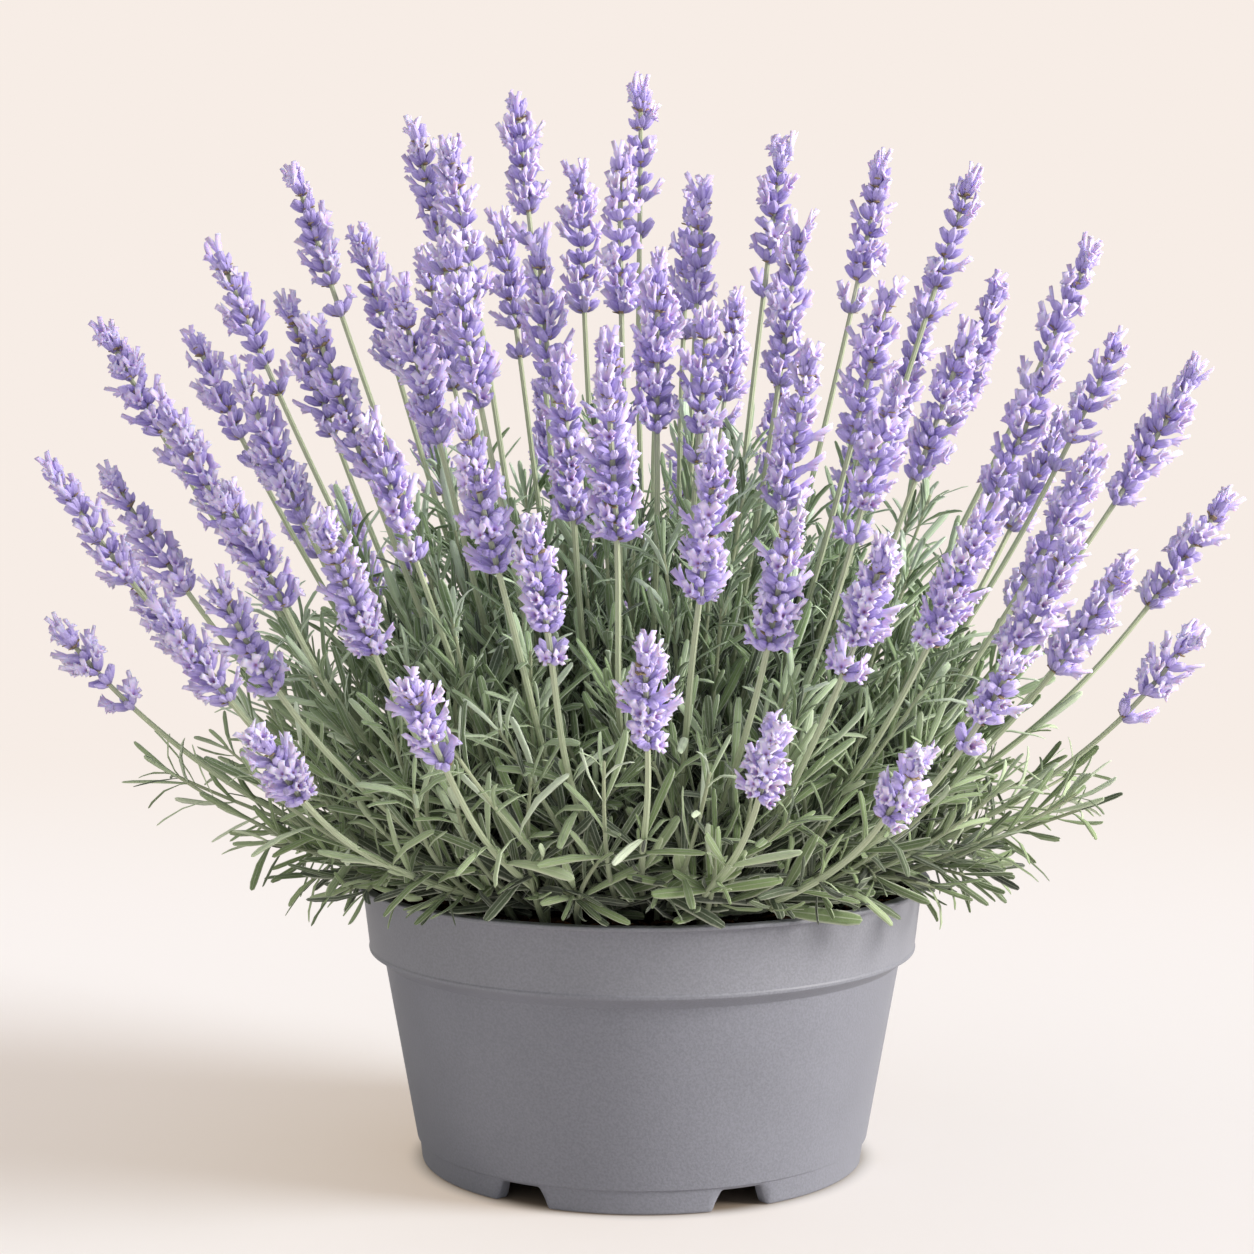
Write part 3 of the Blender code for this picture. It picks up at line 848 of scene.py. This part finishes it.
# %% Stem tube
def stem_tube(course, length, thick_low, thick_high, tint, sides=8, rows=44):
    """A tube of this length along a course: its section is a circle pulled towards a square by cos 4φ."""
    place, frames = walk(course, np.linspace(0.0, length, rows))
    thick = np.linspace(thick_low, thick_high, rows)
    turn = (np.arange(sides) + 0.5) / sides * math.tau
    radius = thick[:, None] * (1 - 0.07 * np.cos(4 * turn))[None]
    across = frames[:, None, 0] * (radius * np.cos(turn))[..., None]
    rings = place[:, None] + across + frames[:, None, 1] * (radius * np.sin(turn))[..., None]
    surface = skin_of_rings(rings, place[0], place[-1] + frames[-1, 2] * thick_high)
    # Painted shade and light: the tint rises from the bush's heart outwards, plus the number given, and picks
    # between the stem's shaded and lit copies.
    surface["tint"] = np.clip(0.1 + outerness(surface["points"]) + tint, 0, 1)
    return ("stem", surface)


# %% [markdown]
# ## Florets
#
# A floret has two parts that show. The calyx is a ribbed tube about 6 mm long, widest in its
# middle and open at the mouth. The corolla is a thin tube that flares into five lobes: two larger
# ones stand up behind and three smaller ones spread in front. The lobes are one ring of the
# surface whose radius follows the angle.

# %% Calyx and corolla shapes
LOBES = np.radians([-38, 38, 110, 180, 250])
LOBE_TIPS = np.array([4.5, 4.5, 2.7, 3.0, 2.7])
LOBE_FORWARD = np.array([3.8, 3.8, 1.9, 1.6, 1.9])


def calyx_shape(mouth, sides=6):
    """A ribbed bottle 1 long: rings of radius against height, turned in at the mouth to a sunken pole."""
    outline = ((0.12, 0.0), (0.235, 0.3), (0.235, 0.7), (0.16 * mouth, 1.0))
    turn = np.arange(sides) / sides * math.tau
    rings = np.array([turned(r, turn, h) for r, h in outline])
    return skin_of_rings(rings, (0, 0, -0.03), (0, 0, 0.86 if mouth > 0.7 else 1.06))


def corolla_shape(spread, lift):
    """A two-lipped flower in mm: base, neck, rim, inner lobe and throat rings.

    The rim has three points for each lobe: the notch before it, at half its radius, and two at
    its full radius, a half of the way to the notch on either side.
    """
    before, after = LOBES - np.roll(LOBES, 1), np.roll(LOBES, -1) - LOBES
    before[0] += math.tau
    after[-1] += math.tau
    turn = np.stack([LOBES - before / 2, LOBES - before / 4, LOBES + after / 4], -1).ravel()
    reach = np.tile([0.5, 1.0, 1.0], 5) * np.repeat(LOBE_TIPS * spread, 3)
    level = np.tile([0.6, 1.0, 1.0], 5) * np.repeat(LOBE_FORWARD * lift, 3)
    around = np.stack([np.sin(turn), np.cos(turn)], -1)
    rows = ((0.75, -2.6), (1.15, 0.6), (reach, level), (reach * 0.62, level * 0.72 + 0.75), (0.95, 1.3))
    rings = [np.column_stack([around * np.reshape(r, (-1, 1)), np.broadcast_to(h, 15)]) for r, h in rows]
    return skin_of_rings(np.array(rings)[:, ::-1], (0, 0, -2.9), (0, 0, 0.2))


CALYXES = [calyx_shape(1.0), calyx_shape(0.45)]
COROLLAS = [corolla_shape(0.95, 1.05), corolla_shape(0.78, 1.5), corolla_shape(0.66, 1.75)]
BRACT = leaf_shape(0.28, 0.5, 0.0, rows=(0, 2, 3))
print("calyx", len(CALYXES[0]["triangles"]), "corolla", len(COROLLAS[0]["triangles"]))

# %% [markdown]
# Florets stand round the stem in whorls. A quarter of the calyxes are buds with a closed mouth,
# and some of the others carry a corolla. Four papery bracts sit under each whorl.

# %% Whorls of florets
CALYX_LENGTH = 0.0062
BUDS = 0.25
BRACT_LENGTH = 0.0038


def florets_at(course, distances, sizes, open_share, pale, crown, each=8):
    """Whorls at distances along a course; crown is the angle at which a whorl's calyxes lean out."""
    whorls = len(distances)
    place, frames = walk(course, np.repeat(distances, each))
    size, forward, many = np.repeat(sizes, each), frames[:, 2], len(place)
    turn = np.tile(np.arange(each) / each * math.tau, whorls)
    turn = turn + np.repeat(np.arange(whorls) * math.pi / each, each) + random.normal(0, 0.16, many)
    lean = np.radians(np.repeat(crown, each)) + random.normal(0, 0.1, many)
    radial = around_stem(frames, turn)
    origin = place + radial * 0.0009 + forward * random.normal(0, 0.0006, (many, 1))
    axes = leaning(forward, radial, forward, lean, np.zeros(many))
    length = CALYX_LENGTH * size * random.uniform(0.85, 1.15, many)
    tints = np.clip(pale + random.normal(0, 0.22, many), 0, 1)
    kind = (random.uniform(0, 1, many) < BUDS).astype(int)
    grown = scattered("calyx", CALYXES, kind, origin, axes, length, tints)
    flowering = np.nonzero((random.uniform(0, 1, many) < np.repeat(open_share, each)) & (kind == 0))[0]
    many, along = len(flowering), axes[flowering, 2]
    tilt = random.normal(0.12, 0.24, many)
    mouth = origin[flowering] + along * length[flowering, None] * 0.9
    petals = leaning(along, radial[flowering], forward[flowering], tilt, np.zeros(many))
    scale = MILLIMETRE * size[flowering] * random.uniform(0.85, 1.2, many)
    tone = np.clip(pale + 0.1 + random.normal(0, 0.25, many), 0, 1)
    which = random.integers(0, len(COROLLAS), many)
    grown += scattered("corolla", COROLLAS, which, mouth, petals, scale, tone)
    place, frames = walk(course, np.repeat(distances - 0.0008, 4))
    forward, many = frames[:, 2], len(place)
    turn = np.tile(np.arange(4) / 4 * math.tau, whorls) + random.normal(0, 0.3, many)
    opening = np.radians(random.uniform(38, 62, many))
    axes = leaning(forward, around_stem(frames, turn), forward, opening, np.zeros(many))
    length = BRACT_LENGTH * random.uniform(0.8, 1.25, many)
    return grown + [("bract", placed(BRACT, place, axes, length, random.uniform(0, 1, many)))]


# %% [markdown]
# ## Flowering shoots
#
# One function grows a whole flowering shoot on a course: the stem, leaves over the lower half, a
# separate whorl and the spike, which ends in a small upright crest of four florets. Spikes low on
# the plant opened later, so they are paler, with more of their corollas open.

# %% Grow a shoot
WHORL_SPACING = 0.0062
STEM_FOOT = 0.00135
STEM_NECK = 0.00090
LAST_WHORL = 0.0105
CREST = 0.0082
LOW_TIP = 0.14
HIGH_TIP = 0.30


def grow_shoot(name, course, gap):
    """Stem, leaves, low whorl and spike on a course. With no gap, the spike runs down to the whorl."""
    whorl, spike, tip = (course["marks"][mark] for mark in (WHORL, SPIKE, TIP))
    along = course["s"] / course["s"][-1]
    wander = np.sin(along * random.uniform(4, 8) + random.uniform(0, 6)) * np.sin(math.pi * along)
    sway = wander[:, None] * 0.0011 * course["side"]
    sway = sway + np.roll(wander, 40)[:, None] * 0.0007 * np.cross(course["side"], course["forward"])
    course = {**course, "points": course["points"] + sway}
    low = np.clip((HIGH_TIP - course["points"][-1, 2]) / (HIGH_TIP - LOW_TIP), 0, 1)
    pale = 0.38 + 0.45 * low
    grown = [stem_tube(course, tip - 0.005, STEM_FOOT, STEM_NECK, 0.45 * low + random.uniform(-0.15, 0.15))]
    grown += leaves_on(course, 0.006, course["marks"][LEAF_END], 0.0135, (0.035, 0.024), (52, 26), 1)
    first = spike + 0.0015 if gap else whorl - 0.0015
    count = max(int(round((tip - first - LAST_WHORL) / WHORL_SPACING)) + 1, 3)
    near_tip = np.clip((np.arange(count) / (count - 1) - 0.6) / 0.4, 0, 1)
    sizes = 1.0 - 0.24 * near_tip**1.2
    sizes[0] *= 0.95
    opened = np.clip(0.5 + 0.2 * low + random.normal(0, 0.12, count), 0.2, 0.9)
    distances = np.linspace(first, tip - LAST_WHORL, count)
    grown += florets_at(course, distances, sizes, opened, pale, 50 - 26 * near_tip**1.4)
    grown += florets_at(course, np.array([tip - CREST]), [0.95], [0.9], pale + 0.02, [20.0], each=4)
    if gap:
        grown += florets_at(course, np.array([whorl - 0.002]), [1.0], [0.5], pale, [46.0])
    return make_piece(name, grown)


GAPPED = (2, 3, 5, 6, 7, 10, 12, 20, 22, 33, 36, 39, 40, 41, 42, 44, 47, 49, 50, 53, 55, 57)
for number, course in courses.items():
    shoot = grow_shoot(f"lavender_shoot_{number:02d}", course, number in GAPPED)
    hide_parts(f"flowering_shoot_{number:02d}")
print("one shoot's triangles", len(shoot.data.polygons))

# %% [markdown]
# ## Sister shoots
#
# A bush of this size carries more spikes than the collision model needs. The others stand in the
# gaps: each follows a course between two of the shoots that are already there, at a share of the
# way from the first to the second.

# %% Grow the sisters
SISTERS = (
    (11, 21, 0.5), (16, 19, 0.5), (17, 19, 0.5), (12, 23, 0.5), (23, 26, 0.5), (39, 28, 0.5),
    (40, 29, 0.5), (32, 38, 0.5), (32, 33, 0.5), (38, 35, 0.5), (34, 35, 0.6), (44, 45, 0.5),
    (1, 15, 0.37), (2, 14, 0.6), (51, 48, 0.5), (9, 5, 0.5), (53, 42, 0.5),
    (50, 48, 0.5), (50, 54, 0.5), (53, 56, 0.4), (49, 50, 0.5), (52, 57, 0.5), (56, 50, 0.6),
    (51, 57, 0.4), (55, 50, 0.5), (58, 54, 0.5), (52, 55, 0.5), (8, 57, 0.5), (43, 58, 0.5),
)
for number, (first, second, share) in enumerate(SISTERS, 1):
    course = between(courses[first], courses[second], share, random.uniform(0.93, 1.02))
    grow_shoot(f"sister_shoot_{number:02d}", course, number % 3 == 0)
print("sister shoots", len(SISTERS))

# %% [markdown]
# ## The leafy mass
#
# Below the spikes the bush is a dome of leafy stems that have not flowered. Their feet are spread
# over the compost by the golden angle, which leaves no rows. A stem that roots near the wall
# leans further: it leaves low and curves upwards, as every branch that seeks light does.

# %% A leafy stem
SECTORS = 8
COMPOST_TOP = 0.103
sectors = [[] for _ in range(SECTORS)]


def leafy_stem(turn, start, through, end, spacing, opening, tuft):
    """A stem along a parabola, its three points each a distance from the axis and a height.

    The parabola leaves the start towards the second point and ends at the third.
    """
    share = np.linspace(0, 1, 60)[:, None]
    flat = (1 - share) ** 2 * start + 2 * share * (1 - share) * through + share**2 * end
    swing = turn + random.normal(0, 0.14) * share[:, 0] ** 1.5
    course = course_of(turned(flat[:, 0], swing, flat[:, 1]), None)
    length = course["s"][-1]
    grown = [stem_tube(course, length, 0.0012, 0.0006, random.uniform(-0.2, 0.1), sides=6, rows=14)]
    grown += leaves_on(course, min(0.01, length / 5), length, spacing, (0.033, 0.024), (opening, 24), tuft)
    grown += leaves_on(course, length * 0.94, length, 0.004, (0.020, 0.016), (26, 10), tuft)
    sectors[int((turn % math.tau) / math.tau * SECTORS)] += grown


# %% Grow the dome
LEAFY_STEMS = 210
GOLDEN = math.pi * (3 - math.sqrt(5))
FOOT_SPREAD = 0.093
LEAN_MARKS = (0, 30, 50, 65, 76, 90)
REACH_MARKS = (0.186, 0.186, 0.184, 0.184, 0.166, 0.140)
FACING = 0.87
TUFTED_LEAN = 62

foot = FOOT_SPREAD * np.sqrt((np.arange(LEAFY_STEMS) + 0.5) / LEAFY_STEMS)
around = np.arange(LEAFY_STEMS) * GOLDEN + random.normal(0, 0.1, LEAFY_STEMS)
lean = np.clip(np.abs(72 * (foot / FOOT_SPREAD) ** 1.05 + random.normal(0, 6, LEAFY_STEMS)), 0, 78)
reach = np.interp(lean, LEAN_MARKS, REACH_MARKS) * random.uniform(0.72, 1.0, LEAFY_STEMS)
reach *= FACING + (1 - FACING) * np.clip(np.abs(np.cos(around)) + 1 - lean / 45, 0, 1)
tips = np.stack([np.sin(np.radians(lean)) * reach, np.cos(np.radians(lean)) * reach + 0.104], -1)
bases = np.stack([foot, np.full(LEAFY_STEMS, COMPOST_TOP)], -1)
sag = 0.16 * (lean / 70) ** 2 * np.linalg.norm(tips - bases, axis=1)
middles = (tips + bases) / 2 + sag[:, None] * (0.5, -0.55)
middles[:, 1] = np.maximum(middles[:, 1], 0.118)
for turn, base, middle, tip, leaning_out in zip(around, bases, middles, tips, lean):
    leafy_stem(turn, base, middle, tip, 0.0125, 50, tuft=int(leaning_out < TUFTED_LEAN))
print("leafy stems", LEAFY_STEMS)

# %% [markdown]
# Short shoots near the wall make a skirt that lies on the rim. They rise just enough to clear
# it. Longer ones arch out sideways past it, with single pairs of leaves, so that daylight shows
# between their tips. Both hang lower and reach further at the sides than in front.

# %% Grow the skirt and the arches
SKIRT = 38
for index in range(SKIRT):
    turn = (index + random.uniform(-0.3, 0.3)) / SKIRT * math.tau
    base = np.array([random.uniform(0.076, 0.09), COMPOST_TOP])
    crest = np.array([0.098, random.uniform(0.122, 0.132)])
    tip = np.array([random.uniform(0.104, 0.118) + 0.02 * math.cos(turn) ** 2, random.uniform(0.113, 0.121)])
    leafy_stem(turn, base, crest, tip, 0.0115, 66, tuft=0)

ARCHES = 34
for index in range(ARCHES):
    turn = (index + random.uniform(-0.4, 0.4)) / ARCHES * math.tau
    far = random.uniform(0.0, 1.0)
    before = math.sin(turn) ** 2
    base = np.array([random.uniform(0.06, 0.088), COMPOST_TOP])
    middle = np.array([0.120 + 0.02 * far, 0.122 + 0.004 * far])
    tip = np.array([0.140 + 0.042 * far - 0.018 * before, 0.121 + 0.030 * far + 0.028 * before])
    leafy_stem(turn, base, middle, tip, 0.0145, 58, tuft=0)

pieces = [
    make_piece(f"leafy_stems_{number}", growth) for number, growth in enumerate(sectors, 1)
]
print("skirt", SKIRT, "arches", ARCHES, "triangles", sum(len(piece.data.polygons) for piece in pieces))

# %% [markdown]
# ## The stage
#
# The pot stands on a pale paper sweep under one broad soft lamp from the right, as on a
# photographer's table. A real sweep curves up behind the plant; here the floor fades into the
# backdrop's own tone with distance, which hides the horizon in the same way. Light that comes
# back from the room keeps the shadow pale, so the paper gives a warm share of its own light to
# the eye: a painted glow. Close to the foot the glow is left out and the paper is painted a
# darker brown-grey: a painted contact shadow.

# %% Floor
FLOOR_SIZE = 30.0
BACKGROUND = "#f7ede6"
PAPER_SEEN = "#e5f1ff"
FOOT_SHADE = "#8f8272"
FILL_TONE = "#ffe0bc"
FILL_SHARE = 0.40
SMOOTH = {"out": "Result", "interpolation_type": "SMOOTHSTEP"}
floor_paint, tree, shader = material("pale_floor", 0.9, 1.45, 0.1)
place = add(tree, "TexCoord", out="Object")
mottle = add(tree, "TexNoise", {"Vector": place, "Scale": 2.0, "Detail": 2.0}, out="Color")
direct = add(tree, "LightPath", out="Is Camera Ray")
from_axis = add(tree, "VectorMath", {0: place}, out="Value", operation="LENGTH")
# Painted contact shadow: near the pot's foot the paper seen by the camera is mixed towards the darker FOOT_SHADE,
# and the glow is left out.
open_floor = add(tree, "MapRange", {"Value": from_axis, "From Min": 0.079, "From Max": 0.092}, **SMOOTH)
seen = add(tree, "Mix", {0: open_floor, 6: FOOT_SHADE, 7: PAPER_SEEN}, **MIX)
paper = add(tree, "Mix", {0: direct, 6: "#e9e4e2", 7: seen}, **MIX)
join(tree, shader, add(tree, "Mix", {0: 0.06, 6: paper, 7: mottle}, **MIX, blend_type="OVERLAY"))
depth = add(tree, "SeparateXYZ", {0: place}, out="Y")
far = add(tree, "MapRange", {"Value": depth, "From Min": 0.25, "From Max": 1.3}, **SMOOTH)
backdrop = add(tree, "Emission", {"Color": BACKGROUND, "Strength": 1.0}, out=0)
glow = add(tree, "Emission", {"Color": FILL_TONE, "Strength": 1.05}, out=0)
filled = add(tree, "Math", {0: direct, 1: FILL_SHARE}, out=0, operation="MULTIPLY")
filled = add(tree, "Math", {0: filled, 1: open_floor}, out=0, operation="MULTIPLY")
lifted = add(tree, "MixShader", {0: filled, 1: shader.outputs[0], 2: glow}, out=0)
sweep = add(tree, "MixShader", {0: far, 1: lifted, 2: backdrop}, out=0)
tree.links.new(sweep, tree.nodes["Material Output"].inputs["Surface"])
half = FLOOR_SIZE / 2
floor_mesh = bpy.data.meshes.new("studio_floor")
corners = [(-half, -half, 0), (half, -half, 0), (half, half, 0), (-half, half, 0)]
floor_mesh.from_pydata(corners, [], [(0, 1, 2, 3)])
floor_mesh.materials.append(floor_paint)
floor = bpy.data.objects.new("studio_floor", floor_mesh)
floor.location.z = -0.0002
bpy.context.scene.collection.objects.link(floor)
floor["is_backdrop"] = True
print("floor, m", FLOOR_SIZE)

# %% Lamp and sky
LAMP_STRENGTH = 4.4
LAMP_WIDTH = 24
LAMP_TILT = 66
LAMP_TURN = 76
SKY_STRENGTH = 0.72
lamp = bpy.data.objects.new("soft_lamp", bpy.data.lights.new("soft_lamp", "SUN"))
lamp.data.energy = LAMP_STRENGTH
lamp.data.angle = math.radians(LAMP_WIDTH)
lamp.data.color = linear("#fffaf5")[:3]
lamp.rotation_euler = (math.radians(LAMP_TILT), 0.0, math.radians(LAMP_TURN))
bpy.context.scene.collection.objects.link(lamp)

world = bpy.data.worlds.new("studio")
world.use_nodes = True
tree = world.node_tree
seen = add(tree, "Background", {"Color": BACKGROUND, "Strength": 1.0}, out=0)
heading = add(tree, "SeparateXYZ", {0: add(tree, "TexCoord", out="Generated")}, out="X")
rightward = add(tree, "MapRange", {"Value": heading, "From Min": -1.0, "From Max": 1.0}, out="Result")
sky = add(tree, "Mix", {0: rightward, 6: "#fffaf2", 7: "#d6dcea"}, **MIX)
lights = add(tree, "Background", {"Color": sky, "Strength": SKY_STRENGTH}, out=0)
by_camera = add(tree, "LightPath", out="Is Camera Ray")
blend = add(tree, "MixShader", {0: by_camera, 1: lights, 2: seen}, out=0)
tree.links.new(blend, tree.nodes["World Output"].inputs["Surface"])
bpy.context.scene.world = world
bpy.context.scene.view_settings.view_transform = "Standard"
print("lamp strength", LAMP_STRENGTH, "sky strength", SKY_STRENGTH)

# %% Measure the finished model
visual_low, visual_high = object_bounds()
sizes = {
    "frame": {"low": list(cad_low), "high": list(cad_high)},
    "visual": {"low": list(visual_low), "high": list(visual_high)},
}
grew_low = (np.array(cad_low) - np.array(visual_low)) * 1000
grew_high = (np.array(visual_high) - np.array(cad_high)) * 1000
print("grew below, mm", np.round(grew_low, 1).tolist(), "above", np.round(grew_high, 1).tolist())
